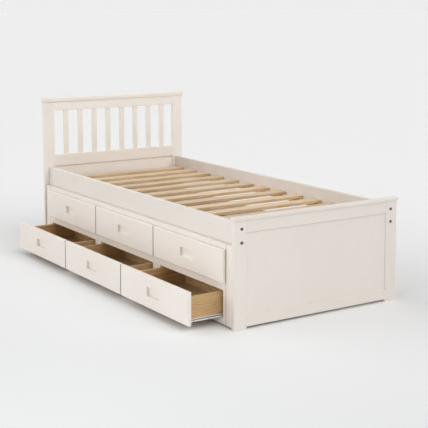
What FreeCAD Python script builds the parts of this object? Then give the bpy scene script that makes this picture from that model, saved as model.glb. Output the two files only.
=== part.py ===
import FreeCAD, Part
import os

from FreeCAD import Vector

# Single bed frame with a roll-out guest-bed unit that holds three drawers.
# Millimetres. +X runs from the head to the foot, -Y is the drawer side, +Z is up.
# The origin is on the floor, under the centre of the fixed frame.

# Fixed frame
LENGTH = 2090.0
WIDTH = 985.0
BOARD = 22.0            # thickness of posts, rails and end rails
POST_W = 70.0
FOOT_H = 510.0          # height of the foot posts, under the cap
FOOT_CAP_T = 17.0
FOOT_CAP_OVER = 6.0
HEAD_H = 905.0          # height of the head posts, under the cap
HEAD_CAP_T = 20.0
HEAD_CAP_OVER = 7.5
COVE = 6.0              # radius and depth of the hollow moulding under the head cap
COVE_H = 14.0
COVE_TOP = 6.0          # full-width band left above the hollow
COVE_LIP = 1.0          # thickness left at the bottom of the hollow
CAP_ROUND = 3.0
FOOT_TOP_RAIL_H = 58.0
END_BOTTOM_RAIL_H = 50.0
END_CLEARANCE = 13.0    # floor to the underside of the bottom rails
PANEL_T = 10.0
PANEL_TONGUE = 6.0
HEAD_TOP_RAIL_BOTTOM = 844.0
SLAT_RAIL_Z = (500.0, 570.0)
HEAD_SLATS = 8
HEAD_SLAT_W = 32.0
HEAD_SLAT_T = 14.0
HEAD_SLAT_TENON = 8.0
RAIL_INSET = 29.6       # side rail face behind the outer edge of the posts
RAIL_Z = (390.5, 499.0)
ARRIS = 2.0             # rounding of the long edges of the fixed frame's boards
FINE_ARRIS = 1.5        # the same on the unit's face frame and on the drawers

# Mattress deck
CLEAT_W = 25.0
CLEAT_Z = (396.0, 421.0)
CLEAT_END_GAP = 8.0
DECK_END_GAP = 40.0     # from the end boards to the first slat
DECK_SLATS = 13
DECK_SLAT_W = 70.0
DECK_SLAT_T = 16.0
DECK_SIDE_GAP = 3.0
SCREW_R = 2.0
SCREW_HEAD_R = 4.2
SCREW_L = 34.0
SCREW_SUNK = 0.4        # how far a screw head lies under the top of its slat

# Knock-down fittings
BOLT_Z = (408.0, 472.0)
BOLT_R = 3.0
BOLT_HOLE_R = 3.5
BOLT_HEAD_R = 7.0
BOLT_HEAD_T = 3.5
BOLT_HEAD_ROUND = 2.0
BOLT_FIT = 0.05
BOLT_REACH = 48.0       # how far the bolt goes into the rail end
BARREL_R = 5.0
BARREL_L = 17.0
BARREL_IN = 34.0        # barrel nut axis from the rail end
HEX_KEY = 5.0
HEX_DEPTH = 2.5
DOWEL_R = 4.0
DOWEL_L = 32.0
DOWEL_STEP = 12.0       # a dowel above and below the middle of each rail end

# Roll-out unit
UNIT_HALF = 1019.0      # half length of the unit
FRAME_Y = -484.0        # front of its face frame
FRAME_T = 18.0
UNIT_BACK_Y = 430.0
UNIT_BOTTOM = 8.0
LEDGE_TOP = 389.0
UNIT_END_H = 300.0
SIDE_T = 15.0
OPENING_W = 576.0
MUNTIN_W = 75.5
OPENING_Z = (40.0, 169.5)
MID_RAIL_TOP = 226.0
TOP_RAIL_BOTTOM = 350.0
BAY_BACK_Y = -130.0     # front of the rail that closes the drawer bays
BAY_BOTTOM = 30.0
BAY_COVER_T = 5.0       # thickness of the dust board over the drawer bays
GUEST_SLATS = 12
GUEST_CLEAT = 20.0
GUEST_DECK_Z = 196.0
GUEST_END_GAP = 30.0
GUEST_SIDE_GAP = 2.0

# Fronts: the same board for the fixed upper row and for the drawers
FRONT_T = 18.0
FRONT_PITCH = 644.0
FRONT_GAP = 5.0
FRONT_H = 157.0
FRONT_ROUND = 3.0
UPPER_FRONT_Z = 209.5
DRAWER_FRONT_Z = 36.5
PULL_W = 116.0
PULL_H = 44.0
PULL_D = 13.0
PULL_CORNER = 5.0
PULL_BOTTOM_ROUND = 3.0
PULL_LIP_ROUND = 1.2

# Drawers
DRAWER_OPEN = 188.0     # how far out the drawers stand at rest
DRAWER_DEPTH = 336.0
BOX_W = 552.0
BOX_T = 12.0
BOX_Z = (57.0, 162.0)
BOX_BACK_TOP = 150.0
FRONT_BUMPER = 0.5      # gap between a closed front and the face frame
BASE_T = 5.0
BASE_Z = 61.0
GROOVE = 5.0

# Runners
SHEET = 1.2
RUNNER_Z = (40.5, 59.0)
CHANNEL_W = 9.5         # how far the fixed half stands in from the side of the bay
CHANNEL_FRONT_GAP = 2.0
CHANNEL_BACK_GAP = 20.0
CHANNEL_MOUTH = 25.0    # length at the front where the channel is open at the top
SLIDE_W = 8.5           # how far the moving half stands out from the drawer side
SLIDE_BOTTOM = 42.0
SLIDE_FRONT_GAP = 1.0
ROLLER_R = 6.5
ROLLER_W = 6.0
ROLLER_GAP = 1.5        # between the front roller and the drawer side's underside
ROLLER_FROM_FRONT = 10.0
REAR_ROLLER_R = 6.5
REAR_ROLLER_FROM_BACK = 12.0
REAR_ROLLER_GAP = 0.2   # between the rear roller and the floor of the channel

# Castors
WHEEL_R = 22.0
WHEEL_W = 18.0
WHEEL_ROUND = 3.0
WHEEL_GAP = 1.5         # between the wheel and the plate
AXLE_R = 4.0
AXLE_FIT = 0.05
COLLAR_R = 7.0
COLLAR_T = 1.0
AXLE_HEAD_T = 3.0
AXLE_HEAD_GAP = 0.5     # between the wheel and the axle's head
CASTOR_Y = (-425.0, 370.0)
PLATE = 56.0
PLATE_T = 2.5
PLATE_BOTTOM = 10.0
PLATE_CORNER = 8.0

X_OUT = LENGTH / 2
X_IN = X_OUT - BOARD
Y_OUT = WIDTH / 2
POST_IN = Y_OUT - POST_W
RAIL_OUT = Y_OUT - RAIL_INSET
RAIL_IN = RAIL_OUT - BOARD
FRAME_BACK_Y = FRAME_Y + FRAME_T
OPENING_PITCH = OPENING_W + MUNTIN_W
DRAWER_X = {"head": -FRONT_PITCH, "middle": 0.0, "foot": FRONT_PITCH}
BAY_X = {"head": -OPENING_PITCH, "middle": 0.0, "foot": OPENING_PITCH}
ENDS = {"head": -1, "foot": 1}
SIDES = {"drawer_side": -1, "wall_side": 1}

nodes = {}


def box(x0, x1, y0, y1, z0, z1):
    """A box between the given limits, in either order."""
    lo = Vector(min(x0, x1), min(y0, y1), min(z0, z1))
    return Part.makeBox(abs(x1 - x0), abs(y1 - y0), abs(z1 - z0), lo)


def edges_along(shape, axis):
    """The straight edges of a shape that run along one axis, 0, 1 or 2."""
    found = []
    for edge in shape.Edges:
        span = edge.valueAt(edge.LastParameter) - edge.valueAt(edge.FirstParameter)
        if abs(abs(span[axis]) - span.Length) < 1e-6:
            found.append(edge)
    return found


def board(x0, x1, y0, y1, z0, z1, along, radius=ARRIS):
    """A board whose long edges, along one axis, are rounded."""
    plank = box(x0, x1, y0, y1, z0, z1)
    return plank.makeFillet(radius, edges_along(plank, along))


def rounded(shape, radius, keep):
    """Rounds the edges whose middle point passes the test keep."""
    chosen = []
    for edge in shape.Edges:
        middle = edge.valueAt((edge.FirstParameter + edge.LastParameter) / 2)
        if keep(middle):
            chosen.append(edge)
    return shape.makeFillet(radius, chosen)


def rod(radius, length, start, axis):
    return Part.makeCylinder(radius, length, start, axis)


def group(solids):
    return Part.makeCompound(solids)


def cut(shape, tools):
    """The shape less the tools, as one clean solid."""
    for tool in tools:
        shape = shape.cut(tool)
    return shape.removeSplitter().Solids[0]


def spread(count, low, high):
    """Evenly spaced values from low to high."""
    return [low + (high - low) * i / (count - 1) for i in range(count)]


def end_x(end, depth):
    """X at a depth inside the outer face of the headboard or the footboard."""
    return ENDS[end] * (X_OUT - depth)


def bolt_spots():
    """Each corner bolt: (end, side, y, z)."""
    middle = RAIL_OUT - BOARD / 2
    return [
        (end, side, SIDES[side] * middle, z)
        for end in ENDS
        for side in SIDES
        for z in BOLT_Z
    ]


def dowel_spots():
    """Each dowel between an end rail and a post: (end, side, z)."""
    bottom = END_CLEARANCE + END_BOTTOM_RAIL_H / 2
    rails = {
        "head": [bottom, sum(SLAT_RAIL_Z) / 2, (HEAD_TOP_RAIL_BOTTOM + HEAD_H) / 2],
        "foot": [bottom, FOOT_H - FOOT_TOP_RAIL_H / 2],
    }
    return [
        (end, side, z + step)
        for end in ENDS
        for side in SIDES
        for z in rails[end]
        for step in (-DOWEL_STEP, DOWEL_STEP)
    ]


def dowel(end, side, z, extra=0.0):
    """A dowel across the joint of a post and a rail, or its hole with extra length."""
    length = DOWEL_L + 2 * extra
    middle = Vector(end_x(end, BOARD / 2), SIDES[side] * POST_IN - length / 2, z)
    return rod(DOWEL_R, length, middle, Vector(0, 1, 0))


def dowel_holes(end):
    return [dowel(e, s, z, 1.0) for e, s, z in dowel_spots() if e == end]


def panel_solid(end, z0, z1):
    """The thin panel of one end, with its tongues."""
    middle = end_x(end, BOARD / 2)
    y = POST_IN + PANEL_TONGUE
    half = PANEL_T / 2
    return box(middle - half, middle + half, -y, y, z0 - PANEL_TONGUE, z1 + PANEL_TONGUE)


def end_rail(end, z0, z1, grooves):
    """A rail between the two posts of one end, drilled for dowels."""
    rail = board(end_x(end, 0), end_x(end, BOARD), -POST_IN, POST_IN, z0, z1, 1)
    return cut(rail, dowel_holes(end) + grooves)


def post(end, side, height, grooves):
    """A flat post with a bolt hole for each side rail bolt."""
    outer = SIDES[side] * Y_OUT
    inner = SIDES[side] * POST_IN
    shape = board(end_x(end, 0), end_x(end, BOARD), outer, inner, 0, height, 2)
    holes = []
    for e, s, y, z in bolt_spots():
        if (e, s) == (end, side):
            start = Vector(end_x(e, BOARD), y, z)
            holes.append(rod(BOLT_HOLE_R, BOARD, start, Vector(ENDS[e], 0, 0)))
    return cut(shape, holes + dowel_holes(end) + grooves)


def cap(end, height, thickness, over):
    """The flat cap on one end, with soft edges."""
    x0 = end_x(end, -over)
    x1 = end_x(end, BOARD + over)
    y = Y_OUT + over
    shape = box(x0, x1, -y, y, height, height + thickness)
    return shape.makeFillet(CAP_ROUND, shape.Edges)


def headboard():
    panel_z = (END_CLEARANCE + END_BOTTOM_RAIL_H, SLAT_RAIL_Z[0])
    panel = panel_solid("head", *panel_z)
    slat_y = (2 * POST_IN - HEAD_SLATS * HEAD_SLAT_W) / (HEAD_SLATS + 1) + HEAD_SLAT_W
    middle = end_x("head", BOARD / 2)
    slats = []
    for i in range(HEAD_SLATS):
        y = (i - (HEAD_SLATS - 1) / 2) * slat_y
        slats.append(
            board(
                middle - HEAD_SLAT_T / 2,
                middle + HEAD_SLAT_T / 2,
                y - HEAD_SLAT_W / 2,
                y + HEAD_SLAT_W / 2,
                SLAT_RAIL_Z[1] - HEAD_SLAT_TENON,
                HEAD_TOP_RAIL_BOTTOM + HEAD_SLAT_TENON,
                2,
            )
        )
    for side in SIDES:
        nodes[f"head_post_{side}"] = post("head", side, HEAD_H, [panel])
    nodes["head_slats"] = group(slats)
    nodes["head_top_rail"] = end_rail("head", HEAD_TOP_RAIL_BOTTOM, HEAD_H, slats)
    nodes["head_slat_rail"] = end_rail("head", *SLAT_RAIL_Z, slats + [panel])
    nodes["head_bottom_rail"] = end_rail("head", END_CLEARANCE, panel_z[0], [panel])
    nodes["head_panel"] = panel
    nodes["head_cap"] = cap("head", HEAD_H, HEAD_CAP_T, HEAD_CAP_OVER)
    nodes["head_cove_moulding"] = cove_moulding()


def cove_moulding():
    """The hollow moulding that runs round the headboard, under its cap."""
    x0 = end_x("head", -COVE)
    x1 = end_x("head", BOARD + COVE)
    y = Y_OUT + COVE
    bottom = HEAD_H - COVE_H
    core = box(end_x("head", 0), end_x("head", BOARD), -Y_OUT, Y_OUT, bottom, HEAD_H)
    ring = box(x0, x1, -y, y, bottom, HEAD_H)
    hollow = COVE - COVE_LIP
    centre_z = HEAD_H - COVE_TOP - hollow
    hollows = []
    for x in (x0, x1):
        hollows.append(rod(hollow, 2 * y, Vector(x, -y, centre_z), Vector(0, 1, 0)))
        hollows.append(box(x - hollow, x + hollow, -y, y, bottom, centre_z))
    for end_y in (-y, y):
        hollows.append(rod(hollow, abs(x1 - x0), Vector(x0, end_y, centre_z), Vector(1, 0, 0)))
        hollows.append(box(x0, x1, end_y - hollow, end_y + hollow, bottom, centre_z))
    return cut(ring, [core] + hollows)


def footboard():
    rail_z = FOOT_H - FOOT_TOP_RAIL_H
    panel_z = (END_CLEARANCE + END_BOTTOM_RAIL_H, rail_z)
    panel = panel_solid("foot", *panel_z)
    for side in SIDES:
        nodes[f"foot_post_{side}"] = post("foot", side, FOOT_H, [panel])
    nodes["foot_top_rail"] = end_rail("foot", rail_z, FOOT_H, [panel])
    nodes["foot_bottom_rail"] = end_rail("foot", END_CLEARANCE, panel_z[0], [panel])
    nodes["foot_panel"] = panel
    nodes["foot_cap"] = cap("foot", FOOT_H, FOOT_CAP_T, FOOT_CAP_OVER)


def side_rails():
    """The two side rails, drilled at the ends for the bolts and barrel nuts."""
    for side, sign in SIDES.items():
        rail = board(-X_IN, X_IN, sign * RAIL_OUT, sign * RAIL_IN, *RAIL_Z, 0)
        holes = []
        for end, s, y, z in bolt_spots():
            if s != side:
                continue
            inward = Vector(-ENDS[end], 0, 0)
            holes.append(rod(BOLT_HOLE_R, BOLT_REACH + 4, Vector(end_x(end, BOARD), y, z), inward))
            holes.append(barrel(end, side, z, hole=True))
        nodes[f"side_rail_{side}"] = cut(rail, holes)


def barrel(end, side, z, hole=False):
    """A barrel nut in a side rail, or the blind hole that holds it."""
    x = end_x(end, BOARD + BARREL_IN)
    start = Vector(x, SIDES[side] * (RAIL_IN - 0.01 * hole), z)
    outward = Vector(0, SIDES[side], 0)
    return rod(BARREL_R + 0.2 * hole, BARREL_L + 0.5 * hole, start, outward)


def corner_bolts():
    """Socket-head bolts with a low round head, on the outside of the posts."""
    bolts = []
    nuts = []
    for end, side, y, z in bolt_spots():
        inward = Vector(-ENDS[end], 0, 0)
        face = Vector(end_x(end, 0), y, z)
        shank = rod(BOLT_R, BOARD + BOLT_REACH, face, inward)
        head = rod(BOLT_HEAD_R, BOLT_HEAD_T, face, inward * -1)
        outer_x = end_x(end, -BOLT_HEAD_T)
        head = rounded(head, BOLT_HEAD_ROUND, lambda p, x=outer_x: abs(p.x - x) < 1e-6)
        socket = Part.Face(Part.makePolygon(hexagon(outer_x, y, z, HEX_KEY / 2)))
        socket = socket.extrude(inward * HEX_DEPTH)
        bolts.append(cut(head.fuse(shank), [socket]))
        nut = barrel(end, side, z)
        through = rod(BOLT_R + BOLT_FIT, BOARD + BARREL_IN + BARREL_L, face, inward)
        nuts.append(cut(nut, [through]))
    nodes["corner_bolts"] = group(bolts)
    nodes["barrel_nuts"] = group(nuts)


def hexagon(x, y, z, half_width):
    """The closed outline of a hexagon in a plane of constant X."""
    points = []
    for i in range(7):
        turn = FreeCAD.Rotation(Vector(1, 0, 0), 60.0 * i)
        points.append(Vector(x, y, z) + turn.multVec(Vector(0, half_width / 0.8660254, 0)))
    return points


def countersunk_screw(x, y, top):
    """A wood screw whose flat head lies a little under the surface at top."""
    head_z = top - SCREW_SUNK
    taper = SCREW_HEAD_R - SCREW_R
    head = Part.makeCone(SCREW_R, SCREW_HEAD_R, taper, Vector(x, y, head_z - taper))
    shank = rod(SCREW_R, SCREW_L, Vector(x, y, head_z - SCREW_L), Vector(0, 0, 1))
    return head.fuse(shank).removeSplitter().Solids[0]


def mattress_deck():
    """Cleats on the side rails, and the row of slats that is screwed down to them."""
    y = RAIL_IN - DECK_SIDE_GAP
    reach = X_IN - DECK_END_GAP - DECK_SLAT_W / 2
    top = CLEAT_Z[1] + DECK_SLAT_T
    slats = []
    screws = {side: [] for side in SIDES}
    wells = {side: [] for side in SIDES}
    for x in spread(DECK_SLATS, -reach, reach):
        half = DECK_SLAT_W / 2
        slat = board(x - half, x + half, -y, y, CLEAT_Z[1], top, 1)
        for side, sign in SIDES.items():
            screw_y = sign * (RAIL_IN - CLEAT_W / 2)
            screw = countersunk_screw(x, screw_y, top)
            well = rod(SCREW_HEAD_R, SCREW_SUNK, Vector(x, screw_y, top), Vector(0, 0, -1))
            screws[side].append(screw)
            wells[side].append(screw.fuse(well))
        slats.append(cut(slat, [wells[side][-1] for side in SIDES]))
    cleats = []
    for side, sign in SIDES.items():
        rail_y = sign * RAIL_IN
        end = X_IN - CLEAT_END_GAP
        cleat = board(-end, end, rail_y, rail_y - sign * CLEAT_W, *CLEAT_Z, 0)
        cleats.append(cut(cleat, screws[side]))
    nodes["slat_cleats"] = group(cleats)
    nodes["deck_slats"] = group(slats)
    nodes["deck_screws"] = group(screws["drawer_side"] + screws["wall_side"])


def pulled_front(x, y, z):
    """A front board with a recessed pull. x is its middle, y its front face, z its underside."""
    half = (FRONT_PITCH - FRONT_GAP) / 2
    shape = box(x - half, x + half, y, y + FRONT_T, z, z + FRONT_H)
    shape = rounded(shape, FRONT_ROUND, lambda p: abs(p.y - y) < 1e-6)
    middle = z + FRONT_H / 2
    above = y - 1
    recess = box(
        x - PULL_W / 2,
        x + PULL_W / 2,
        above,
        y + PULL_D,
        middle - PULL_H / 2,
        middle + PULL_H / 2,
    )
    recess = recess.makeFillet(PULL_CORNER, edges_along(recess, 1))
    recess = rounded(recess, PULL_BOTTOM_ROUND, lambda p: abs(p.y - y - PULL_D) < 1e-6)
    shape = cut(shape, [recess])

    def on_the_mouth(p):
        near = abs(p.x - x) < PULL_W and abs(p.z - middle) < PULL_H
        return near and abs(p.y - y) < 1e-6

    return rounded(shape, PULL_LIP_ROUND, on_the_mouth)


def face_frame():
    """The face frame of the roll-out unit."""
    y = (FRAME_Y, FRAME_BACK_Y)
    opening_end = 1.5 * OPENING_W + MUNTIN_W
    for end, sign in ENDS.items():
        nodes[f"unit_stile_{end}"] = board(
            sign * opening_end, sign * UNIT_HALF, *y, UNIT_BOTTOM, LEDGE_TOP, 2, FINE_ARRIS
        )
    rails = {
        "top": (TOP_RAIL_BOTTOM, LEDGE_TOP),
        "middle": (OPENING_Z[1], MID_RAIL_TOP),
        "bottom": (UNIT_BOTTOM, OPENING_Z[0]),
    }
    for name, z in rails.items():
        nodes[f"unit_{name}_rail"] = board(-opening_end, opening_end, *y, *z, 0, FINE_ARRIS)
    muntins = []
    for sign in (-1, 1):
        near = sign * OPENING_W / 2
        far = sign * (OPENING_W / 2 + MUNTIN_W)
        for z in (OPENING_Z, (MID_RAIL_TOP, TOP_RAIL_BOTTOM)):
            muntins.append(board(near, far, *y, *z, 2, FINE_ARRIS))
    nodes["unit_muntins"] = group(muntins)
    for name, x in DRAWER_X.items():
        nodes[f"fixed_front_{name}"] = pulled_front(x, FRAME_Y - FRONT_T, UPPER_FRONT_Z)


def unit_case():
    """Ends, back, bay dividers with their dust board, and the guest deck of the unit."""
    back_y = UNIT_BACK_Y - SIDE_T
    for end, sign in ENDS.items():
        nodes[f"unit_end_{end}"] = board(
            sign * (UNIT_HALF - SIDE_T),
            sign * UNIT_HALF,
            FRAME_BACK_Y,
            back_y,
            UNIT_BOTTOM,
            UNIT_END_H,
            1,
        )
    nodes["unit_back"] = board(
        -UNIT_HALF, UNIT_HALF, back_y, UNIT_BACK_Y, UNIT_BOTTOM, UNIT_END_H, 0
    )
    inside = UNIT_HALF - SIDE_T
    nodes["unit_bay_rail"] = board(
        -inside, inside, BAY_BACK_Y, BAY_BACK_Y + SIDE_T, BAY_BOTTOM, OPENING_Z[1], 0
    )
    dividers = []
    for x in BAY_X.values():
        for sign in (-1, 1):
            near = x + sign * OPENING_W / 2
            far = near + sign * SIDE_T
            dividers.append(box(near, far, FRAME_BACK_Y, BAY_BACK_Y, BAY_BOTTOM, OPENING_Z[1]))
    cover_y = (FRAME_BACK_Y, BAY_BACK_Y + SIDE_T)
    cover_z = (OPENING_Z[1], OPENING_Z[1] + BAY_COVER_T)
    dividers.append(box(-inside, inside, *cover_y, *cover_z))
    nodes["unit_dividers"] = group(dividers)
    cleats = []
    for y0, y1 in ((FRAME_BACK_Y, FRAME_BACK_Y + GUEST_CLEAT), (back_y - GUEST_CLEAT, back_y)):
        cleats.append(box(-inside, inside, y0, y1, GUEST_DECK_Z - GUEST_CLEAT, GUEST_DECK_Z))
    nodes["guest_cleats"] = group(cleats)
    slats = []
    reach = inside - GUEST_END_GAP - DECK_SLAT_W / 2
    y0 = FRAME_BACK_Y + GUEST_SIDE_GAP
    y1 = back_y - GUEST_SIDE_GAP
    for x in spread(GUEST_SLATS, -reach, reach):
        half = DECK_SLAT_W / 2
        top = GUEST_DECK_Z + DECK_SLAT_T
        slats.append(board(x - half, x + half, y0, y1, GUEST_DECK_Z, top, 1))
    nodes["guest_slats"] = group(slats)


def unit_runners():
    """The fixed half of each drawer runner: a channel with a roller at its front end."""
    y0 = FRAME_BACK_Y + CHANNEL_FRONT_GAP
    y1 = BAY_BACK_Y - CHANNEL_BACK_GAP
    z0, z1 = RUNNER_Z
    roller_z = BOX_Z[0] - ROLLER_GAP - ROLLER_R
    solids = []
    for x in BAY_X.values():
        for sign in (-1, 1):
            wall = x + sign * OPENING_W / 2
            lip = wall - sign * CHANNEL_W
            web = box(wall, wall - sign * SHEET, y0, y1, z0, z1)
            low = box(wall, lip, y0, y1, z0, z0 + SHEET)
            high = box(wall, lip, y0 + CHANNEL_MOUTH, y1, z1 - SHEET, z1)
            centre = Vector(wall, y0 + ROLLER_FROM_FRONT, roller_z)
            roller = rod(ROLLER_R, ROLLER_W + 2 * SHEET, centre, Vector(-sign, 0, 0))
            solids.append(web.fuse([low, high, roller]).removeSplitter().Solids[0])
    nodes["unit_runners"] = group(solids)


def castors():
    """Fixed castors inside the unit ends: plate and axle on the panel, wheel on the axle."""
    brackets = []
    for end, sign in ENDS.items():
        face = sign * (UNIT_HALF - SIDE_T)
        inward = Vector(-sign, 0, 0)
        for i, y in enumerate(CASTOR_Y):
            half = PLATE / 2
            plate_z = (PLATE_BOTTOM, UNIT_BOTTOM + PLATE)
            plate = box(face, face - sign * PLATE_T, y - half, y + half, *plate_z)
            plate = plate.makeFillet(PLATE_CORNER, edges_along(plate, 0))
            start = Vector(face, y, WHEEL_R)
            brackets.append(cut(plate, [rod(AXLE_R, PLATE_T, start, inward)]))
            wheel_start = start + inward * (PLATE_T + WHEEL_GAP)
            head_start = wheel_start + inward * (WHEEL_W + AXLE_HEAD_GAP)
            shank = rod(AXLE_R, (head_start - start).Length, start, inward)
            collar = rod(COLLAR_R, COLLAR_T, start + inward * PLATE_T, inward)
            head = rod(COLLAR_R, AXLE_HEAD_T, head_start, inward)
            brackets.append(shank.fuse([collar, head]).removeSplitter().Solids[0])
            wheel = rod(WHEEL_R, WHEEL_W, wheel_start, inward)
            rims = [edge for edge in wheel.Edges if edge.Closed and edge.Length > WHEEL_R]
            wheel = wheel.makeFillet(WHEEL_ROUND, rims)
            bore = rod(AXLE_R + AXLE_FIT, WHEEL_W, wheel_start, inward)
            nodes[f"castor_wheel_{end}_{'front' if i == 0 else 'back'}"] = cut(wheel, [bore])
    nodes["castor_brackets"] = group(brackets)


def drawer(name):
    """One drawer, standing open by DRAWER_OPEN."""
    x = BAY_X[name]
    front_y = FRAME_Y - FRONT_T - FRONT_BUMPER - DRAWER_OPEN
    y0 = front_y + FRONT_T
    y1 = y0 + DRAWER_DEPTH
    half = BOX_W / 2
    base = box(
        x - half + BOX_T - GROOVE,
        x + half - BOX_T + GROOVE,
        y0 - GROOVE,
        y1 - BOX_T + GROOVE,
        BASE_Z,
        BASE_Z + BASE_T,
    )
    rear_roller_z = RUNNER_Z[0] + SHEET + REAR_ROLLER_GAP + REAR_ROLLER_R
    sides = []
    runners = []
    for sign in (-1, 1):
        outer = x + sign * half
        inner = outer - sign * BOX_T
        lip = outer + sign * SLIDE_W
        side = board(outer, inner, y0, y1, *BOX_Z, 1, FINE_ARRIS)
        sides.append(cut(side, [base]))
        under = BOX_Z[0]
        front_end = y0 + SLIDE_FRONT_GAP
        flange = box(inner, lip, front_end, y1, under - SHEET, under)
        web = box(outer, outer + sign * SHEET, front_end, y1, SLIDE_BOTTOM, under)
        centre = Vector(outer, y1 - REAR_ROLLER_FROM_BACK, rear_roller_z)
        roller = rod(REAR_ROLLER_R, ROLLER_W + SHEET, centre, Vector(sign, 0, 0))
        runners.append(flange.fuse([web, roller]).removeSplitter().Solids[0])
    inside = half - BOX_T
    back = board(
        x - inside, x + inside, y1 - BOX_T, y1, BOX_Z[0], BOX_BACK_TOP, 0, FINE_ARRIS
    )
    front = pulled_front(DRAWER_X[name], front_y, DRAWER_FRONT_Z)
    nodes[f"drawer_front_{name}"] = cut(front, [base])
    nodes[f"drawer_sides_{name}"] = group(sides)
    nodes[f"drawer_back_{name}"] = cut(back, [base])
    nodes[f"drawer_base_{name}"] = base
    nodes[f"drawer_runners_{name}"] = group(runners)


headboard()
footboard()
side_rails()
corner_bolts()
nodes["rail_dowels"] = group([dowel(*spot) for spot in dowel_spots()])
mattress_deck()
face_frame()
unit_case()
unit_runners()
castors()
for drawer_name in DRAWER_X:
    drawer(drawer_name)

os.makedirs("parts", exist_ok=True)
for node, shape in nodes.items():
    if not shape.isValid():
        raise ValueError(f"{node} is not a valid shape")
    shape.exportStep(f"parts/{node}.step")
print(len(nodes), "nodes")
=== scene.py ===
import math

import bmesh
import bpy
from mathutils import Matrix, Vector


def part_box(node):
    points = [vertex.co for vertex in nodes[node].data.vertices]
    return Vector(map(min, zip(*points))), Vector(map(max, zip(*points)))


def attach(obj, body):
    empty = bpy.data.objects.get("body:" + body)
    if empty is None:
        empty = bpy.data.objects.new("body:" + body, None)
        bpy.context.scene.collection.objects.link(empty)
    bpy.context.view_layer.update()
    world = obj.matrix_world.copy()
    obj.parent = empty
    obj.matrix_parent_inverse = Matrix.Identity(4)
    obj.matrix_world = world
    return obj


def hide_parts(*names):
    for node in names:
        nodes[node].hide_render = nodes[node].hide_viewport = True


# Looks of the painted single bed with its roll-out guest unit. Metres, in the frame of the CAD model:
# +X from the head to the foot, -Y the drawer side, +Z up, the floor at zero.

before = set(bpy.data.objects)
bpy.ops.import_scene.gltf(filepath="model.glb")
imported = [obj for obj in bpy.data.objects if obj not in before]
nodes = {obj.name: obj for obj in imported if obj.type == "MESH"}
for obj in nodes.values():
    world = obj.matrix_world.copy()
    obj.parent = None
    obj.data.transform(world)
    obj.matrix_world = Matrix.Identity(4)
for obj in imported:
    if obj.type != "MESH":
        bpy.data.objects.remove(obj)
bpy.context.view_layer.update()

X, Y, Z = 0, 1, 2
ENDS = {"head": -1, "foot": 1}
DRAWERS = ("head", "middle", "foot")

# Which way the grain runs in each board.
PAINTED_GRAIN = {
    X: ["side_rail_drawer_side", "side_rail_wall_side", "unit_top_rail", "unit_middle_rail"]
    + ["unit_bottom_rail", "unit_back"]
    + [f"{kind}_front_{name}" for kind in ("fixed", "drawer") for name in DRAWERS],
    Y: ["head_top_rail", "head_slat_rail", "head_bottom_rail", "foot_top_rail", "foot_bottom_rail"]
    + ["head_cap", "foot_cap", "head_cove_moulding", "unit_end_head", "unit_end_foot"],
    Z: ["head_panel", "foot_panel", "head_slats", "unit_stile_head", "unit_stile_foot"]
    + ["unit_muntins"]
    + [f"{end}_post_{side}" for end in ENDS for side in ("drawer_side", "wall_side")],
}
# Boards whose names start so are a touch lighter or darker than the rest. The last two are there
# only to have a material of their own for the painted shade lines below.
PAINT_TONES = {
    "fixed_front": 1.03,
    "drawer_front": 0.97,
    "side_rail": 0.925,
    "foot": 0.945,
    "unit_middle_rail": 1.0,
    "unit_stile": 1.0,
}
# Painted shade: grey lines along the gaps and contact lines between boards, where shade falls:
# (axis, distance from the origin, half width).
PAINTED_SHADE_LINES = {
    "fixed_front": [(X, 0.322, 0.0055), (Y, 0.484, 0.0045)],
    "drawer_front": [(X, 0.322, 0.0055)],
    "unit_middle_rail": [(Z, 0.209, 0.0028)],
    "unit_stile": [(X, 0.9642, 0.0025)],
}
PAINTED_SHADE_GREY = (0.20, 0.18, 0.165, 1)
DRAWER_GRAIN = {
    X: [f"drawer_{part}_{name}" for part in ("back", "base") for name in DRAWERS],
    Y: [f"drawer_sides_{name}" for name in DRAWERS],
}
PINE_GRAIN = {
    X: ["slat_cleats", "guest_cleats", "unit_bay_rail"],
    Y: ["rail_dowels"],
}


# ---- Node trees ----


def new_material(name):
    """A new material with its tree and its Principled shader."""
    material = bpy.data.materials.new(name)
    material.use_nodes = True
    tree = material.node_tree
    return material, tree, tree.nodes["Principled BSDF"]


def node(tree, kind, inputs=None, **settings):
    """Adds a shader node. An input is a value, or another node's output to link."""
    made = tree.nodes.new("ShaderNode" + kind)
    for name, value in settings.items():
        setattr(made, name, value)
    for name, value in (inputs or {}).items():
        if isinstance(value, bpy.types.NodeSocket):
            tree.links.new(value, made.inputs[name])
        else:
            made.inputs[name].default_value = value
    return made


def maths(tree, operation, *values, clamp=False):
    inputs = dict(enumerate(values))
    return node(tree, "Math", inputs, operation=operation, use_clamp=clamp).outputs[0]


def vector_maths(tree, operation, *values):
    return node(tree, "VectorMath", dict(enumerate(values)), operation=operation).outputs[0]


def remap(tree, value, low, high, new_low=0.0, new_high=1.0):
    """A smooth, clamped change of range."""
    inputs = {"Value": value, "From Min": low, "From Max": high, "To Min": new_low, "To Max": new_high}
    return node(tree, "MapRange", inputs, interpolation_type="SMOOTHSTEP").outputs[0]


def mix_colour(tree, share, first, second, blend="MIX"):
    """Mixes two colours. In this node, sockets 6 and 7 are the colours."""
    made = node(tree, "Mix", {0: share, 6: first, 7: second}, data_type="RGBA", blend_type=blend)
    return made.outputs[2]


def noise(tree, place, scale, detail=3.0, roughness=0.55, distortion=0.0):
    inputs = {
        "Vector": place,
        "Scale": scale,
        "Detail": detail,
        "Roughness": roughness,
        "Distortion": distortion,
    }
    return node(tree, "TexNoise", inputs).outputs["Fac"]


def board_place(tree):
    """A point in the board, shifted by its object's own random number so that no two match."""
    place = node(tree, "TexCoord").outputs["Object"]
    shift = maths(tree, "MULTIPLY", node(tree, "ObjectInfo").outputs["Random"], 7.0)
    return vector_maths(tree, "ADD", place, shift)


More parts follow.
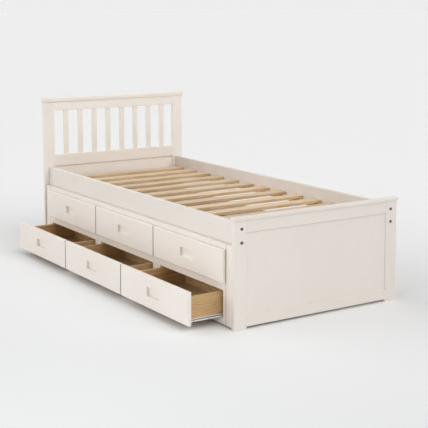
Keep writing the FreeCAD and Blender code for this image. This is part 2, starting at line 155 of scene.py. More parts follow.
def stretched(tree, place, axis, along, across):
    """The place scaled for a texture that is drawn out along the grain axis."""
    scale = [across] * 3
    scale[axis] = along
    return vector_maths(tree, "MULTIPLY", place, Vector(scale))


def edge_mask(tree):
    """1 on rounded edges, where the normal points along no axis, and 0 on flat faces."""
    normal = node(tree, "TexCoord").outputs["Normal"]
    size = vector_maths(tree, "ABSOLUTE", normal)
    parts = node(tree, "SeparateXYZ", {0: size}).outputs
    largest = maths(tree, "MAXIMUM", maths(tree, "MAXIMUM", parts[0], parts[1]), parts[2])
    return remap(tree, largest, 0.995, 0.80)


def bump(tree, height, depth, normal=None):
    inputs = {"Height": height, "Distance": depth, "Strength": 1.0}
    if normal is not None:
        inputs["Normal"] = normal
    return node(tree, "Bump", inputs).outputs[0]


# ---- Materials ----


def painted_shade_mask(tree, lines):
    """1 along the painted shade lines of a board, at its gaps and contact lines, and 0 away from them.
    """
    place = vector_maths(tree, "ABSOLUTE", node(tree, "TexCoord").outputs["Object"])
    parts = node(tree, "SeparateXYZ", {0: place}).outputs
    mask = 0.0
    for axis, distance, half in lines:
        away = maths(tree, "ABSOLUTE", maths(tree, "SUBTRACT", parts[axis], distance))
        mask = maths(tree, "MAXIMUM", mask, remap(tree, away, half, half * 0.45))
    return mask


def painted_wood(axis, tone=1.0, label="", lines=()):
    """Satin off-white paint, through which the grain and the brush strokes just show."""
    material, tree, shader = new_material(f"painted_wood_{'xyz'[axis]}{label}")
    place = board_place(tree)
    drawn = stretched(tree, place, axis, 1.6, 26.0)
    figure = noise(tree, drawn, 1.0, 2.0, 0.5, 0.6)
    rings = maths(tree, "SINE", maths(tree, "MULTIPLY", figure, 52.0))
    pores = noise(tree, stretched(tree, place, axis, 28.0, 900.0), 1.0, 3.0, 0.6)
    pore_lines = remap(tree, pores, 0.60, 0.72)
    brush = noise(tree, stretched(tree, place, axis, 9.0, 420.0), 1.0, 4.0, 0.65)
    mottle = noise(tree, place, 3.2, 3.0, 0.55)
    edge = edge_mask(tree)

    lighter, darker, ringed, pored, rubbed_and_highlit = (
        tuple(tone * value for value in colour) + (1,)
        for colour in (
            (0.872, 0.812, 0.750),
            (0.854, 0.793, 0.731),
            (0.804, 0.740, 0.677),
            (0.694, 0.629, 0.570),
            (0.885, 0.826, 0.766),
        )
    )
    colour = mix_colour(tree, remap(tree, mottle, 0.35, 0.65), darker, lighter)
    colour = mix_colour(tree, remap(tree, rings, -0.2, 1.0, 0.0, 0.13), colour, ringed)
    colour = mix_colour(tree, maths(tree, "MULTIPLY", pore_lines, 0.15), colour, pored)
    # Rounded edges are a touch lighter: partly wear, partly a painted highlight.
    colour = mix_colour(tree, maths(tree, "MULTIPLY", edge, 0.1), colour, rubbed_and_highlit)
    # Painted shade: grey lines along the gaps and contact lines between boards.
    if lines:
        wear_and_painted_shade = maths(tree, "MULTIPLY", painted_shade_mask(tree, lines), 0.75)
        colour = mix_colour(tree, wear_and_painted_shade, colour, PAINTED_SHADE_GREY)
    tree.links.new(colour, shader.inputs["Base Color"])

    shader.inputs["Specular IOR Level"].default_value = 0.32
    rough = remap(tree, brush, 0.25, 0.75, 0.42, 0.56)
    rough = maths(tree, "SUBTRACT", rough, maths(tree, "MULTIPLY", edge, 0.07))
    tree.links.new(rough, shader.inputs["Roughness"])
    height = maths(tree, "MULTIPLY_ADD", rings, 0.10, maths(tree, "MULTIPLY", brush, 0.55))
    height = maths(tree, "SUBTRACT", height, maths(tree, "MULTIPLY", pore_lines, 0.45))
    tree.links.new(bump(tree, height, 0.00016), shader.inputs["Normal"])
    return material


def bare_wood(name, axis, tones, ring_count, pore_depth, knots, pitch=None):
    """Clear-lacquered wood. tones are the early wood, the late wood, the pores and the knots.

    With a pitch, boards that far apart along X each get a tone of their own.
    """
    material, tree, shader = new_material(f"{name}_{'xyz'[axis]}")
    place = board_place(tree)
    figure = noise(tree, stretched(tree, place, axis, 1.1, 15.0), 1.0, 2.0, 0.5, 0.5)
    knot_place = stretched(tree, place, axis, 3.0, 5.0)
    cells = node(tree, "TexVoronoi", {"Vector": knot_place, "Scale": 1.0, "Randomness": 1.0})
    knot = remap(tree, cells.outputs["Distance"], 0.16, 0.02, 0.0, knots)
    field = maths(tree, "MULTIPLY_ADD", knot, 0.35, figure)
    phase = maths(tree, "MULTIPLY", field, float(ring_count))
    rings = maths(tree, "SINE", phase)
    late = remap(tree, rings, -0.1, 0.95)
    fine = noise(tree, stretched(tree, place, axis, 6.0, 240.0), 1.0, 4.0, 0.6)
    pores = noise(tree, stretched(tree, place, axis, 45.0, 1500.0), 1.0, 2.0, 0.6)
    pore_lines = remap(tree, pores, 0.56, 0.68)
    broad = noise(tree, stretched(tree, place, axis, 0.7, 7.0), 1.0, 2.0, 0.5)

    early_wood, late_wood, pore_tone, knot_tone = tones
    late_share = maths(tree, "MULTIPLY", late, remap(tree, broad, 0.3, 0.7, 0.35, 0.95))
    colour = mix_colour(tree, late_share, early_wood, late_wood)
    colour = mix_colour(tree, remap(tree, fine, 0.40, 0.72, 0.0, 0.45), colour, late_wood)
    colour = mix_colour(tree, maths(tree, "MULTIPLY", pore_lines, pore_depth), colour, pore_tone)
    colour = mix_colour(tree, maths(tree, "MULTIPLY", knot, 0.75), colour, knot_tone)
    value = remap(tree, broad, 0.25, 0.75, 0.90, 1.08)
    if pitch:
        along_x = node(tree, "SeparateXYZ", {0: node(tree, "TexCoord").outputs["Object"]}).outputs[0]
        number = maths(tree, "ROUND", maths(tree, "DIVIDE", along_x, pitch))
        tone = node(tree, "TexWhiteNoise", {"W": number}, noise_dimensions="1D").outputs["Value"]
        value = maths(tree, "MULTIPLY", value, remap(tree, tone, 0.0, 1.0, 0.88, 1.08))
    hsv = node(tree, "HueSaturation", {"Color": colour, "Value": value})
    tree.links.new(hsv.outputs[0], shader.inputs["Base Color"])

    rough = remap(tree, fine, 0.25, 0.75, 0.42, 0.58)
    rough = maths(tree, "ADD", rough, maths(tree, "MULTIPLY", pore_lines, 0.12))
    tree.links.new(rough, shader.inputs["Roughness"])
    height = maths(tree, "MULTIPLY_ADD", late, 0.25, maths(tree, "MULTIPLY", fine, 0.35))
    height = maths(tree, "SUBTRACT", height, maths(tree, "MULTIPLY", pore_lines, 0.6))
    tree.links.new(bump(tree, height, 0.00018), shader.inputs["Normal"])
    return material


def oak(axis):
    """The drawer boxes: golden oak with fine dark pores. The backs and bases are a little lighter and
    greyer: painted light that offsets the redder bounce light in the shade inside the drawers.
    """
    if axis == X:
        tones = ((0.66, 0.46, 0.25, 1), (0.48, 0.305, 0.145, 1), (0.24, 0.14, 0.065, 1))
    else:
        tones = ((0.60, 0.395, 0.190, 1), (0.43, 0.250, 0.100, 1), (0.20, 0.105, 0.040, 1))
    return bare_wood("drawer_oak", axis, tones + ((0.17, 0.09, 0.04, 1),), 70, 0.60, 0.0)


def pine(axis, pitch=None, label=""):
    """Slats, cleats and inner boards: pale pine with a few knots."""
    tones = ((0.72, 0.55, 0.36, 1), (0.58, 0.38, 0.20, 1), (0.42, 0.26, 0.13, 1), (0.20, 0.10, 0.045, 1))
    return bare_wood("pine" + label, axis, tones, 60, 0.25, 1.0, pitch)


def hardboard_and_bay_shade():
    """Dark brown pressed fibreboard round the drawer bays, darker than bare board: its own colour and
    painted shade for the dark inside of the bays.
    """
    material, tree, shader = new_material("hardboard_and_bay_shade")
    place = node(tree, "TexCoord").outputs["Object"]
    fibres = noise(tree, place, 420.0, 4.0, 0.65, 1.5)
    blotch = noise(tree, place, 14.0, 3.0, 0.6)
    dark, light = (0.105, 0.068, 0.042, 1), (0.165, 0.108, 0.066, 1)
    shade = mix_colour(tree, remap(tree, fibres, 0.35, 0.68), dark, light)
    shade = mix_colour(tree, remap(tree, blotch, 0.45, 0.70, 0.0, 0.5), shade, (0.085, 0.055, 0.035, 1))
    tree.links.new(shade, shader.inputs["Base Color"])
    tree.links.new(remap(tree, fibres, 0.3, 0.7, 0.42, 0.62), shader.inputs["Roughness"])
    tree.links.new(bump(tree, fibres, 0.00008), shader.inputs["Normal"])
    return material


def metal(name, colour, dark, roughness, grain_scale, spots):
    """Plated or blackened steel with mottling and fine scratches."""
    material, tree, shader = new_material(name)
    place = node(tree, "TexCoord").outputs["Object"]
    cloud = noise(tree, place, grain_scale, 4.0, 0.6)
    fleck = noise(tree, place, grain_scale * 9.0, 3.0, 0.7)
    shade = mix_colour(tree, remap(tree, cloud, 0.35, 0.65), dark, colour)
    shade = mix_colour(tree, remap(tree, fleck, 0.60, 0.75, 0.0, spots), shade, dark)
    tree.links.new(shade, shader.inputs["Base Color"])
    shader.inputs["Metallic"].default_value = 1.0
    rough = remap(tree, cloud, 0.3, 0.7, roughness - 0.06, roughness + 0.08)
    tree.links.new(rough, shader.inputs["Roughness"])
    tree.links.new(bump(tree, fleck, 0.00002), shader.inputs["Normal"])
    return material


def coated_steel():
    """White powder coat on the runners, with a slight orange peel and a dark band painted along the web
    as shade under the top flange.
    """
    material, tree, shader = new_material("runner_coat")
    place = node(tree, "TexCoord").outputs["Object"]
    peel = noise(tree, place, 900.0, 2.0, 0.5)
    grime = noise(tree, place, 35.0, 4.0, 0.6)
    clean, dull = (0.86, 0.86, 0.85, 1), (0.74, 0.73, 0.71, 1)
    shade = mix_colour(tree, remap(tree, grime, 0.45, 0.75, 0.0, 0.6), clean, dull)
    # Painted shade: a dark band along the web, under the top flange.
    height = node(tree, "SeparateXYZ", {0: place}).outputs[2]
    above = remap(tree, height, 0.0475, 0.0485)
    below = remap(tree, height, 0.0556, 0.0550)
    painted_shade_band = maths(tree, "MULTIPLY", maths(tree, "MULTIPLY", above, below), 0.85)
    shade = mix_colour(tree, painted_shade_band, shade, (0.10, 0.10, 0.10, 1))
    tree.links.new(shade, shader.inputs["Base Color"])
    tree.links.new(remap(tree, grime, 0.3, 0.7, 0.30, 0.42), shader.inputs["Roughness"])
    tree.links.new(bump(tree, peel, 0.00004), shader.inputs["Normal"])
    return material


def plastic(name, colour, wear_and_painted_shade, roughness):
    """Moulded plastic with a fine texture and scuffs."""
    material, tree, shader = new_material(name)
    place = node(tree, "TexCoord").outputs["Object"]
    grain = noise(tree, place, 1800.0, 2.0, 0.5)
    scuff = noise(tree, place, 60.0, 5.0, 0.65)
    shade = mix_colour(tree, remap(tree, scuff, 0.48, 0.70, 0.0, 0.7), colour, wear_and_painted_shade)
    tree.links.new(shade, shader.inputs["Base Color"])
    rough = remap(tree, scuff, 0.3, 0.7, roughness - 0.05, roughness + 0.12)
    tree.links.new(rough, shader.inputs["Roughness"])
    tree.links.new(bump(tree, grain, 0.00004), shader.inputs["Normal"])
    return material


def floor_material():
    """Plain pale studio floor, a little greyer in front of the bed, where the soft box is near."""
    material, tree, shader = new_material("studio_floor")
    place = node(tree, "TexCoord").outputs["Object"]
    cloud = noise(tree, place, 0.8, 2.0, 0.5)
    below_box = (1.2, -2.0, 0.0)
    measure = node(tree, "VectorMath", {0: place, 1: below_box}, operation="DISTANCE")
    from_box = measure.outputs["Value"]
    far = remap(tree, maths(tree, "MULTIPLY_ADD", cloud, 0.1, from_box), 1.0, 6.0)
    shade = mix_colour(tree, far, (0.892, 0.895, 0.896, 1), (0.992, 0.992, 0.992, 1))
    tree.links.new(shade, shader.inputs["Base Color"])
    shader.inputs["Roughness"].default_value = 0.9
    shader.inputs["Specular IOR Level"].default_value = 0.0
    return material


def paint(names, material):
    for name in names:
        slots = nodes[name].data.materials
        for i in range(len(slots)):
            slots[i] = material


def slat_pitch(name):
    """The distance from one slat to the next, from the first and the last of them."""
    middles = sorted({round(v.co.x, 4) for v in nodes[name].data.vertices})
    gaps = [b - a for a, b in zip(middles, middles[1:])]
    free = max(gaps)
    starts = [b for a, b in zip(middles, middles[1:]) if b - a > free * 0.9]
    return (starts[-1] - starts[0]) / (len(starts) - 1)


# ---- Turned and pressed details ----


def solids_of(name):
    """The lowest and the highest corner of each solid in a CAD node, in a fixed order.

    Solids that share an edge, such as a castor plate and its axle, come as one.
    """
    shape = bmesh.new()
    shape.from_mesh(nodes[name].data)
    bmesh.ops.remove_doubles(shape, verts=shape.verts, dist=1e-6)
    shape.verts.ensure_lookup_table()
    seen = [False] * len(shape.verts)
    boxes = []
    for first in shape.verts:
        if seen[first.index]:
            continue
        seen[first.index] = True
        island = [first]
        for vert in island:
            for edge in vert.link_edges:
                other = edge.other_vert(vert)
                if not seen[other.index]:
                    seen[other.index] = True
                    island.append(other)
        spans = [[vert.co[axis] for vert in island] for axis in (X, Y, Z)]
        boxes.append((Vector([min(span) for span in spans]), Vector([max(span) for span in spans])))
    shape.free()
    return sorted(boxes, key=lambda box: tuple(round(value, 4) for value in box[0]))


def quarter_turn(axis):
    """The rotation that stands a shape made along Z up along another axis."""
    return Vector(axis).to_track_quat("Z", "Y")


def turned(bm, profile, centre, axis, steps=32):
    """Adds a turned solid. The profile is (radius, height) points from the axis round to the axis.

    A profile that keeps off the axis makes a ring, and one that only starts on it is left open
    at its last circle. Returns that last circle of vertices.
    """
    turn = quarter_turn(axis)
    circles = []
    for radius, height in profile:
        count = steps if radius else 1
        angles = [2 * math.pi * i / count for i in range(count)]
        points = [Vector((radius * math.cos(a), radius * math.sin(a), height)) for a in angles]
        circles.append([bm.verts.new(centre + turn @ point) for point in points])
    pairs = list(zip(circles, circles[1:]))
    if profile[0][0]:
        pairs.append((circles[-1], circles[0]))
    for low, high in pairs:
        for i in range(steps):
            corners = (i, (i + 1) % steps)
            loop = [low[c % len(low)] for c in corners]
            loop += [high[c % len(high)] for c in reversed(corners)]
            bm.faces.new(dict.fromkeys(loop))
    return circles[-1]


def screw(bm, profile, socket, depth, centre, axis):
    """Adds a turned shank and head whose flat top, at height zero, has a driven recess."""
    rim = turned(bm, profile, centre, axis, steps=24)
    turn = quarter_turn(axis)
    mouth = [bm.verts.new(centre + turn @ Vector((a, b, 0.0))) for a, b in socket]
    floor = [bm.verts.new(centre + turn @ Vector((a * 0.7, b * 0.7, -depth))) for a, b in socket]
    edges = []
    for loop in (rim, mouth):
        for a, b in zip(loop, loop[1:] + loop[:1]):
            edges.append(bm.edges.get((a, b)) or bm.edges.new((a, b)))
    bmesh.ops.triangle_fill(bm, use_beauty=True, edges=edges)
    count = len(socket)
    for i in range(count):
        j = (i + 1) % count
        bm.faces.new((mouth[i], mouth[j], floor[j], floor[i]))
    bm.faces.new(floor)


def length_of(bm, near, far):
    """Adds a closed bar between two matching outlines."""
    near = [bm.verts.new(point) for point in near]
    far = [bm.verts.new(point) for point in far]
    for i in range(len(near)):
        j = (i + 1) % len(near)
        bm.faces.new((near[i], near[j], far[j], far[i]))
    bm.faces.new(near)
    bm.faces.new(far)


def pressed(bm, outline, wall, side, y0, y1):
    """Adds a length of rolled strip. The outline is (distance out from the wall, height) points."""
    near, far = ([(wall + side * out, y, z) for out, z in outline] for y in (y0, y1))
    length_of(bm, near, far)


def piece(name, bm, material, body, replaced=()):
    """Makes an object of the mesh, and has it ride on a body."""
    bmesh.ops.recalc_face_normals(bm, faces=bm.faces)
    mesh = bpy.data.meshes.new(name)
    bm.to_mesh(mesh)
    bm.free()
    mesh.shade_smooth()
    mesh.set_sharp_from_angle(angle=math.radians(35))
    mesh.materials.append(material)
    made = bpy.data.objects.new(name, mesh)
    bpy.context.scene.collection.objects.link(made)
    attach(made, body)
    if replaced:
        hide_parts(*replaced)
    return made


def millimetres(points):
    return [(a / 1000, b / 1000) for a, b in points]


CROSS = millimetres(
    [(0.45, 2.2), (-0.45, 2.2), (-0.45, 0.45), (-2.2, 0.45), (-2.2, -0.45), (-0.45, -0.45)]
    + [(-0.45, -2.2), (0.45, -2.2), (0.45, -0.45), (2.2, -0.45), (2.2, 0.45), (0.45, 0.45)]
)
SLOT = millimetres([(4.0, 0.7), (-4.0, 0.7), (-4.0, -0.7), (4.0, -0.7)])
COUNTERSUNK = millimetres(
    [(0, -34), (0.5, -33), (1.9, -29), (1.9, -2.6), (3.9, -0.3), (4.15, -0.1), (4.1, 0)]
)
PAN_HEAD = millimetres([(0, -1.9), (3.1, -1.9), (3.3, -1.4), (3.0, -0.6), (2.5, -0.15), (2.3, 0)])
BARREL = millimetres([(0, -17), (4.7, -17), (5, -16.7), (5, -0.4), (4.6, 0)])
# Each fastener: the turned profile, the outline of its recess, and the depth of the recess.
DECK_SCREW = (COUNTERSUNK, CROSS, 0.0016)
BARREL_NUT = (BARREL, SLOT, 0.0015)
PLATE_SCREW = (PAN_HEAD, CROSS, 0.0012)
RUNNER_SCREW = (
    millimetres([(0, -1.6), (2.2, -1.6), (2.3, -0.9), (2.0, -0.3), (1.8, 0)]),
    [(a * 0.6, b * 0.6) for a, b in CROSS],
    0.0008,
)
DOME = millimetres(
    [(0, 0), (7.4, 0), (7.6, 0.5), (7.2, 1.5), (6.0, 2.5), (4.0, 3.1), (2.0, 3.4), (0, 3.5)]
)
WHEEL = millimetres(
    [(4.1, 0.6), (4.7, 0), (8.4, 0), (9, 0.6), (9, 3.6), (9.6, 4.2), (15.8, 4.2), (16.4, 3.6)]
    + [(16.4, 0.8), (17.2, 0.2), (19.2, 0.1), (20.9, 0.9), (21.8, 2.6), (21.95, 4.2)]
    + [(21.95, 13.8), (21.8, 15.4), (20.9, 17.1), (19.2, 17.9), (17.2, 17.8), (16.4, 17.2)]
    + [(16.4, 14.4), (15.8, 13.8), (9.6, 13.8), (9, 14.4), (9, 17.4), (8.4, 18), (4.7, 18), (4.1, 17.4)]
)
ROLLER = millimetres(
    [(0, 0), (5.7, 0), (6.35, 0.5), (6.5, 1.2), (6.5, 4.9), (6.35, 5.6), (5.7, 6), (3.2, 6)]
    + [(2.9, 5.6), (2.6, 5.6), (2.4, 6.6), (1.6, 7.0), (0, 7.1)]
)
# Distance out from the drawer side, and height, of the drawer's half of a runner.
DRAWER_STRIP = millimetres(
    [(-12, 57), (8, 57), (8.5, 56.7), (8.5, 56.1), (8, 55.8), (2, 55.8), (1.45, 55.6), (1.2, 55)]
    + [(1.2, 51.8), (2, 51), (2, 48), (1.2, 47.2), (1.2, 43.7), (1.5, 43.25), (2, 43.2), (2.25, 42.9)]
    + [(2.25, 42.3), (1.95, 42), (0.6, 42), (0.15, 42.2), (0, 42.7), (0, 55.2), (-0.3, 55.6)]
    + [(-0.8, 55.8), (-12, 55.8)]
)
# Distance in from the bay wall, and height, of the fixed half.
CHANNEL_FLOOR = [(0, 40.5), (9.1, 40.5), (9.5, 40.8), (9.5, 41.3), (9.1, 41.7)]
CHANNEL_FLOOR += [(1.9, 41.7), (1.2, 42.4)]
CHANNEL = millimetres(
    CHANNEL_FLOOR + [(1.2, 57.1), (1.9, 57.8), (9.1, 57.8), (9.5, 58.2), (9.5, 58.7), (9.1, 59), (0, 59)]
)
CHANNEL_MOUTH = millimetres(CHANNEL_FLOOR + [(1.2, 58.6), (0.9, 59), (0, 59)])
MOUTH = 0.025               # length of the open front of a fixed channel
ROLLER_R = 0.0065
SHEET = 0.0012              # steel of the runners
# Corners of a wheel rib: (distance from the axle, distance to the side).
RIB_CORNERS = ((0.0088, -0.0009), (0.0166, -0.0007), (0.0166, 0.0007), (0.0088, 0.0009))
STRIP_REACH = 0.0085        # of the drawer's half, out from the drawer side
DRAWER_ROLLER_IN = 0.012    # from the back of the drawer's half
CHANNEL_ROLLER_IN = 0.010   # from the front of the fixed half
CHANNEL_ROLLER_Z = 0.049
RUNNER_SCREW_Z = 0.0455
RUNNER_SCREW_PROUD = 0.0022
RUNNER_SCREW_SHARES = (0.10, 0.34, 0.58, 0.80)
GUEST_CLEAT_MIDDLE = 0.010  # from the end of a guest slat
CASTOR_PLATE = 0.0025       # thickness
PLATE_SCREW_IN = 0.009      # from the edges of a castor plate
PLATE_SCREW_PROUD = 0.0018
BUMPER_IN = 0.018           # from the sides of a drawer front
BUMPER_ABOVE = 0.060        # the lower pads, from the bottom of the front
BUMPER_BELOW = 0.012        # the upper pads, from its top
LEDGE_PROUD = 0.0005        # of the top of the stiles
LEDGE_END_GAP = 0.001


def deck_fixings(zinc):
    """Countersunk screws through the deck slats, and slotted nuts for the corner bolts."""
    bm = bmesh.new()
    for low, high in solids_of("deck_screws"):
        centre = (low + high) / 2
        centre.z = high.z
        screw(bm, *DECK_SCREW, centre, (0, 0, 1))
    piece("cross_recess_deck_screws", bm, zinc, "bed_frame", ["deck_screws"])

    bm = bmesh.new()
    for low, high in solids_of("barrel_nuts"):
        centre = (low + high) / 2
        inward = -math.copysign(1, centre.y)
        centre.y = high.y if inward > 0 else low.y
        screw(bm, *BARREL_NUT, centre, (0, inward, 0))
    piece("slotted_barrel_nuts", bm, zinc, "bed_frame", ["barrel_nuts"])

    bm = bmesh.new()
    for low, high in solids_of("guest_slats"):
        for y in (low.y + GUEST_CLEAT_MIDDLE, high.y - GUEST_CLEAT_MIDDLE):
            centre = Vector(((low.x + high.x) / 2, y, high.z + 0.0001))
            screw(bm, *DECK_SCREW, centre, (0, 0, 1))
    piece("guest_slat_screws", bm, zinc, "guest_unit")


def wheels_and_plates(zinc, rubber):
    """Ribbed castor wheels, with the screws of their plates and the caps of their axles."""
    for end in ENDS:
        for place in ("front", "back"):
            name = f"castor_wheel_{end}_{place}"
            low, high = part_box(name)
            low, high = Vector(low), Vector(high)
            axle_z = (low.z + high.z) / 2
            centre = Vector((low.x, (low.y + high.y) / 2, axle_z))
            bm = bmesh.new()
            turned(bm, WHEEL, centre, (1, 0, 0), steps=48)
            for i in range(8):
                add_rib(bm, centre, 2 * math.pi * i / 8, high.x - low.x)
            piece(f"ribbed_{name}", bm, rubber, name, [name])

    # A plate and its axle share the edge of the bore, so the two come as one solid.
    bm = bmesh.new()
    for low, high in solids_of("castor_brackets"):
        inward = -math.copysign(1, low.x)
        panel_x, tip_x = (low.x, high.x) if inward > 0 else (high.x, low.x)
        for y in (low.y + PLATE_SCREW_IN, high.y - PLATE_SCREW_IN):
            head_x = panel_x + inward * (CASTOR_PLATE + PLATE_SCREW_PROUD)
            centre = Vector((head_x, y, high.z - PLATE_SCREW_IN))
            screw(bm, *PLATE_SCREW, centre, (inward, 0, 0))
        turned(bm, DOME, Vector((tip_x, (low.y + high.y) / 2, axle_z)), (inward, 0, 0))
    piece("castor_plate_screws", bm, zinc, "guest_unit")


def add_rib(bm, centre, angle, width):
    """A radial rib in the hollow of each face of a wheel, between the hub and the tread."""
    for x0, x1 in ((0.0010, 0.0044), (width - 0.0044, width - 0.0010)):
        corners = []
        for x in (x0, x1):
            for radius, offset in RIB_CORNERS:
                y = radius * math.cos(angle) - offset * math.sin(angle)
                z = radius * math.sin(angle) + offset * math.cos(angle)
                corners.append(centre + Vector((x, y, z)))
        length_of(bm, corners[:4], corners[4:])


def runners(coat, nylon, zinc):
    """Both halves of the drawer runners: rolled strip, rollers, and the screws of the moving half."""
    bays = {}
    for name in DRAWERS:
        low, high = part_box(f"drawer_base_{name}")
        bays[name] = (low[0] + high[0]) / 2
        strip, rollers, screws = bmesh.new(), bmesh.new(), bmesh.new()
        for low, high in solids_of(f"drawer_runners_{name}"):
            side = math.copysign(1, (low.x + high.x) / 2 - bays[name])
            wall = high.x - STRIP_REACH if side > 0 else low.x + STRIP_REACH
            pressed(strip, DRAWER_STRIP, wall, side, low.y, high.y)
            centre = Vector((wall + side * SHEET, high.y - DRAWER_ROLLER_IN, low.z + ROLLER_R))
            turned(rollers, ROLLER, centre, (side, 0, 0), steps=24)
            for share in RUNNER_SCREW_SHARES:
                y = low.y + (high.y - low.y) * share
                centre = Vector((wall + side * RUNNER_SCREW_PROUD, y, RUNNER_SCREW_Z))
                screw(screws, *RUNNER_SCREW, centre, (side, 0, 0))
        node_name = f"drawer_runners_{name}"
        body = f"drawer_{name}"
        piece(f"rolled_{node_name}", strip, coat, body, [node_name])
        piece(f"drawer_rollers_{name}", rollers, nylon, body)
        piece(f"drawer_runner_screws_{name}", screws, zinc, body)

    strip, rollers = bmesh.new(), bmesh.new()
    for low, high in solids_of("unit_runners"):
        middle = (low.x + high.x) / 2
        bay = min(bays.values(), key=lambda x: abs(x - middle))
        side = math.copysign(1, middle - bay)
        wall = high.x if side > 0 else low.x
        pressed(strip, CHANNEL_MOUTH, wall, -side, low.y, low.y + MOUTH)
        pressed(strip, CHANNEL, wall, -side, low.y + MOUTH, high.y)
        centre = Vector((wall - side * SHEET, low.y + CHANNEL_ROLLER_IN, CHANNEL_ROLLER_Z))
        turned(rollers, ROLLER, centre, (-side, 0, 0), steps=24)
    piece("rolled_unit_channels", strip, coat, "guest_unit", ["unit_runners"])
    piece("unit_rollers", rollers, nylon, "guest_unit")


def bumpers(rubber):
    """Small pads behind the top corners of each drawer front, where it meets the face frame."""
    profile = millimetres([(0, 0), (4.6, 0), (5, 0.12), (4.7, 0.3), (3.8, 0.42), (0, 0.45)])
    for name in DRAWERS:
        low, high = (Vector(corner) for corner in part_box(f"drawer_front_{name}"))
        bm = bmesh.new()
        for x in (low.x + BUMPER_IN, high.x - BUMPER_IN):
            for z in (low.z + BUMPER_ABOVE, high.z - BUMPER_BELOW):
                turned(bm, profile, Vector((x, high.y, z)), (0, 1, 0), steps=24)
        piece(f"drawer_bumpers_{name}", bm, rubber, f"drawer_{name}")


def ledge_board():
    """The thin board behind the face frame that carries the unit's ledge back under the side rail."""
    low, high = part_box("unit_stile_head")
    back, top = high[1], high[2] + LEDGE_PROUD
    outline = [(0, -12), (21, -12), (22, -11), (22, -1.4), (21.6, -0.4), (20.6, 0), (0.2, 0), (0, -0.2)]
    outline = [(back + a, top + b) for a, b in millimetres(outline)]
    bm = bmesh.new()
    end = low[0] + LEDGE_END_GAP
    length_of(bm, *([(x, y, z) for y, z in outline] for x in (end, -end)))
    piece("unit_ledge_board", bm, nodes["unit_top_rail"].data.materials[0], "guest_unit")


# ---- Studio ----

# Broad soft lights: (where each one stands, as seen from the bed, and its strength).
SOFT_LIGHTS = {
    "key_left": ((-0.8, -0.8, 0.2), 1.00),
    "high_left": ((-0.8, -0.6, 0.8), 0.76),
    "fill_front": ((0.0, -1.0, 0.35), 0.69),
    "fill_foot": ((1.0, 0.3, 0.9), 1.84),
    "fill_wall": ((-0.3, 1.0, 0.5), 0.50),
    "top": ((0.0, 0.0, 1.0), 0.36),
}
# Near soft boxes: (place, the point that it faces, width, power, spread in degrees).
SOFT_BOXES = {
    "headboard_fill": ((-0.1, 0.0, 1.5), (-1.05, 0.0, 0.65), 1.0, 2.85, 180),
    "foot_front_fill": ((2.5, -3.2, 1.3), (0.8, -0.5, 0.25), 1.2, 3.3, 80),
}


SUN_SPREAD = math.radians(60)
SOFT_BOX_COLOUR = (0.92, 0.96, 1.0)
CAMERA_PLACE = (4.953, -3.154, 1.470)
CAMERA_YAW = math.radians(146.86)
CAMERA_PITCH = math.radians(-6.0)
CAMERA_LENS = 89.5
CAMERA_SHIFT_Y = -0.22


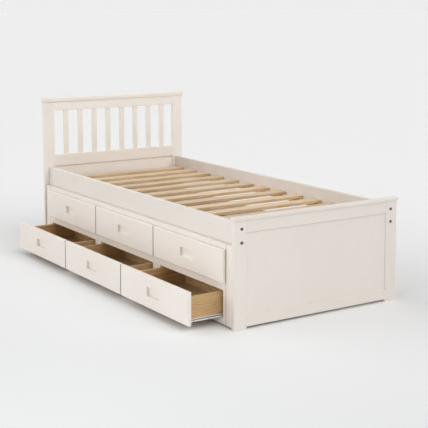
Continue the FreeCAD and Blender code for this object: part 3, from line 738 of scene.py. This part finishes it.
def studio():
    """The floor, the soft light and the camera."""
    bpy.ops.mesh.primitive_grid_add(x_subdivisions=8, y_subdivisions=8, size=600.0)
    floor = bpy.context.object
    floor.name = "floor"
    floor.data.materials.append(floor_material())

    world = bpy.data.worlds.new("studio")
    world.use_nodes = True
    background = world.node_tree.nodes["Background"]
    background.inputs["Color"].default_value = (0.85, 0.85, 0.85, 1)
    background.inputs["Strength"].default_value = 1.0
    bpy.context.scene.world = world
    world.cycles_visibility.diffuse = False

    for name, (towards, energy) in SOFT_LIGHTS.items():
        light = bpy.data.lights.new(name, "SUN")
        light.energy = energy
        light.angle = SUN_SPREAD
        lamp = bpy.data.objects.new(name, light)
        lamp.rotation_euler = Vector(towards).to_track_quat("Z", "Y").to_euler()
        bpy.context.scene.collection.objects.link(lamp)
    for name, (place, faces, width, power, spread) in SOFT_BOXES.items():
        light = bpy.data.lights.new(name, "AREA")
        light.energy = power
        light.color = SOFT_BOX_COLOUR
        light.size = width
        light.spread = math.radians(spread)
        lamp = bpy.data.objects.new(name, light)
        lamp.location = place
        lamp.rotation_euler = (Vector(place) - Vector(faces)).to_track_quat("Z", "Y").to_euler()
        lamp.visible_camera = False
        bpy.context.scene.collection.objects.link(lamp)

    data = bpy.data.cameras.new("camera")
    data.sensor_width = 36.0
    data.lens = CAMERA_LENS
    data.shift_y = CAMERA_SHIFT_Y
    data.clip_end = 1000.0
    camera = bpy.data.objects.new("camera", data)
    level = math.cos(CAMERA_PITCH)
    aim = Vector((math.cos(CAMERA_YAW) * level, math.sin(CAMERA_YAW) * level, math.sin(CAMERA_PITCH)))
    camera.location = CAMERA_PLACE
    camera.rotation_euler = aim.to_track_quat("-Z", "Y").to_euler()
    bpy.context.scene.collection.objects.link(camera)
    bpy.context.scene.camera = camera
    bpy.context.scene.view_settings.view_transform = "Standard"


for axis, names in PAINTED_GRAIN.items():
    paint(names, painted_wood(axis))
    for kind, tone in PAINT_TONES.items():
        batch = [name for name in names if name.startswith(kind)]
        if batch:
            paint(batch, painted_wood(axis, tone, "_" + kind, PAINTED_SHADE_LINES.get(kind, ())))
for axis, names in DRAWER_GRAIN.items():
    paint(names, oak(axis))
for axis, names in PINE_GRAIN.items():
    paint(names, pine(axis))
paint(["unit_dividers"], hardboard_and_bay_shade())
for name in ("deck_slats", "guest_slats"):
    paint([name], pine(Y, slat_pitch(name), "_" + name))
bolt_steel = metal("dark_bolt", (0.17, 0.145, 0.13, 1), (0.075, 0.064, 0.056, 1), 0.42, 300.0, 0.4)
paint(["corner_bolts"], bolt_steel)
zinc = metal("zinc", (0.62, 0.62, 0.60, 1), (0.42, 0.42, 0.41, 1), 0.34, 220.0, 0.3)
paint(["castor_brackets"], zinc)
coat = coated_steel()
nylon = plastic("roller_nylon", (0.74, 0.73, 0.70, 1), (0.60, 0.58, 0.54, 1), 0.42)
rubber = plastic("castor_wheel", (0.09, 0.09, 0.095, 1), (0.20, 0.195, 0.19, 1), 0.5)
deck_fixings(zinc)
wheels_and_plates(zinc, rubber)
runners(coat, nylon, zinc)
bumpers(rubber)
ledge_board()
studio()
